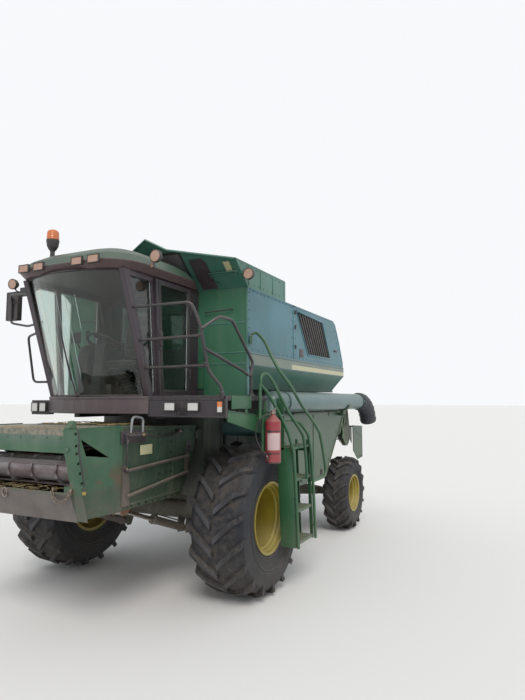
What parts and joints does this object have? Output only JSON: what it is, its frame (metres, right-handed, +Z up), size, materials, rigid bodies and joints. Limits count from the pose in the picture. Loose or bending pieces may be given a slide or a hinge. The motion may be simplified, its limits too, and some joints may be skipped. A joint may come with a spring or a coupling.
{
  "type": "combine harvester",
  "caption": "Self-propelled combine harvester without its header: cab, side platform and ladder, open grain tank, unloading auger, feeder house and steered rear axle.",
  "frame": {"origin": "on the ground, at the middle of the machine's box in length and width", "axes": "+X towards the feeder house at the front, +Y to the machine's left with the ladder, +Z up"},
  "size_m": [7.96, 3.794, 4.4102],
  "materials": {
    "green_paint": "faded and dusty",
    "dusty_green": "faded gloss with dust",
    "pale_band": "faded satin",
    "charcoal": "satin",
    "black_tube": "satin",
    "rim_yellow": "gloss with dust",
    "tyre_rubber": "dusty",
    "spout_rubber": "matt",
    "worn_steel": "worn and rusty",
    "cast": "dusty",
    "rod_chrome": "polished",
    "glazing": "clear, lightly dusty",
    "seat_cloth": "woven",
    "dark_plastic": "grained",
    "roof_plastic": "faded",
    "red_paint": "gloss",
    "amber": "clear tinted",
    "lamp_white": "ribbed lens"
  },
  "bodies": {
    "chassis": {"threshing_body": "dusty_green", "front_axle": "green_paint", "rear_axle": "green_paint", "grain_tank": "green_paint", "tank_extension": "green_paint", "engine_hood": "dusty_green", "engine_grilles": "charcoal", "engine_block": "cast", "lower_fairing": "green_paint", "flank_band": "pale_band", "side_shields": "green_paint", "straw_hood": "green_paint", "straw_chopper": "green_paint", "rear_drives": "worn_steel", "cab_base": "charcoal", "cab_frame": "charcoal", "cab_roof": "roof_plastic", "windscreen": "glazing", "cab_glass": "glazing", "seat": "seat_cloth", "steering_column": "dark_plastic", "platform": "charcoal", "platform_railing": "black_tube", "ladder": "green_paint", "ladder_treads": "green_paint", "ladder_handrails": "green_paint", "fire_extinguisher": "red_paint", "beacon": "amber", "lamps": "lamp_white", "side_mirror": "black_tube", "auger_base": "pale_band"},
    "drive_wheel_left": {"drive_tyre_left": "tyre_rubber", "drive_rim_left": "rim_yellow"},
    "drive_wheel_right": {"drive_tyre_right": "tyre_rubber", "drive_rim_right": "rim_yellow"},
    "steering_left": {"knuckle_left": "cast"},
    "steering_right": {"knuckle_right": "cast"},
    "steer_wheel_left": {"steer_tyre_left": "tyre_rubber", "steer_rim_left": "rim_yellow"},
    "steer_wheel_right": {"steer_tyre_right": "tyre_rubber", "steer_rim_right": "rim_yellow"},
    "feeder": {"feeder_house": "green_paint", "header_frame": "green_paint", "feeder_conveyor": "worn_steel", "feeder_links": "worn_steel", "coupler_handle": "rod_chrome"},
    "lift_barrel": {"lift_barrels": "black_tube"},
    "lift_rod": {"lift_rods": "rod_chrome"},
    "unloader": {"auger_tube": "pale_band", "auger_spout": "spout_rubber"},
    "cab_door": {"door_frame": "charcoal", "door_glass": "glazing"},
    "deflector": {"straw_deflector": "green_paint"}
  },
  "joints": [
    {"name": "drive_spin_left", "type": "hinge", "parent": "chassis", "child": "drive_wheel_left", "pos_m": [1.58, 1.253, 0.915], "axis": [0, 1, 0], "continuous": true},
    {"name": "steer_left", "type": "hinge", "parent": "chassis", "child": "steering_left", "pos_m": [-2.175, 0.953, 0.65], "axis": [0, 0, 1], "range_deg": [-35, 35]},
    {"name": "steer_spin_left", "type": "hinge", "parent": "steering_left", "child": "steer_wheel_left", "pos_m": [-2.175, 1.278, 0.65], "axis": [0, 1, 0], "continuous": true},
    {"name": "drive_spin_right", "type": "hinge", "parent": "chassis", "child": "drive_wheel_right", "pos_m": [1.58, -1.547, 0.915], "axis": [0, 1, 0], "continuous": true},
    {"name": "steer_right", "type": "hinge", "parent": "chassis", "child": "steering_right", "pos_m": [-2.175, -1.247, 0.65], "axis": [0, 0, 1], "range_deg": [-35, 35]},
    {"name": "steer_spin_right", "type": "hinge", "parent": "steering_right", "child": "steer_wheel_right", "pos_m": [-2.175, -1.572, 0.65], "axis": [0, 1, 0], "continuous": true},
    {"name": "feeder_lift", "type": "hinge", "parent": "chassis", "child": "feeder", "pos_m": [1.795, -0.147, 1.9], "axis": [0, 1, 0], "range_deg": [0, 27]},
    {"name": "lift_barrel_swing", "type": "hinge", "parent": "chassis", "child": "lift_barrel", "pos_m": [1.64, -0.147, 0.69], "axis": [0, 1, 0], "range_deg": [-0.1, 17.31]},
    {"name": "lift_rod_slide", "type": "slide", "parent": "lift_barrel", "child": "lift_rod", "axis": [0.9424, 0, 0.3344], "range_m": [-0.5439, 0.001]},
    {"name": "auger_swing", "type": "hinge", "parent": "chassis", "child": "unloader", "pos_m": [1.14351, 1.353, 2.145], "axis": [0.3239, 0, -0.9461], "range_deg": [0, 95]},
    {"name": "door_swing", "type": "hinge", "parent": "chassis", "child": "cab_door", "pos_m": [2.016, 0.6433, 2.6], "axis": [0, 0, 1], "range_deg": [0, 85]},
    {"name": "deflector_tilt", "type": "hinge", "parent": "chassis", "child": "deflector", "pos_m": [-3.26, -0.147, 1.8], "axis": [0, 1, 0], "range_deg": [-25, 20]}
  ],
  "couplings": [
    {"joint": "steer_right", "follows": "steer_left", "ratio": 1},
    {"joint": "lift_barrel_swing", "follows": "feeder_lift", "ratio": 0.63748},
    {"joint": "lift_rod_slide", "follows": "feeder_lift", "m_per_rad": -1.1522}
  ]
}
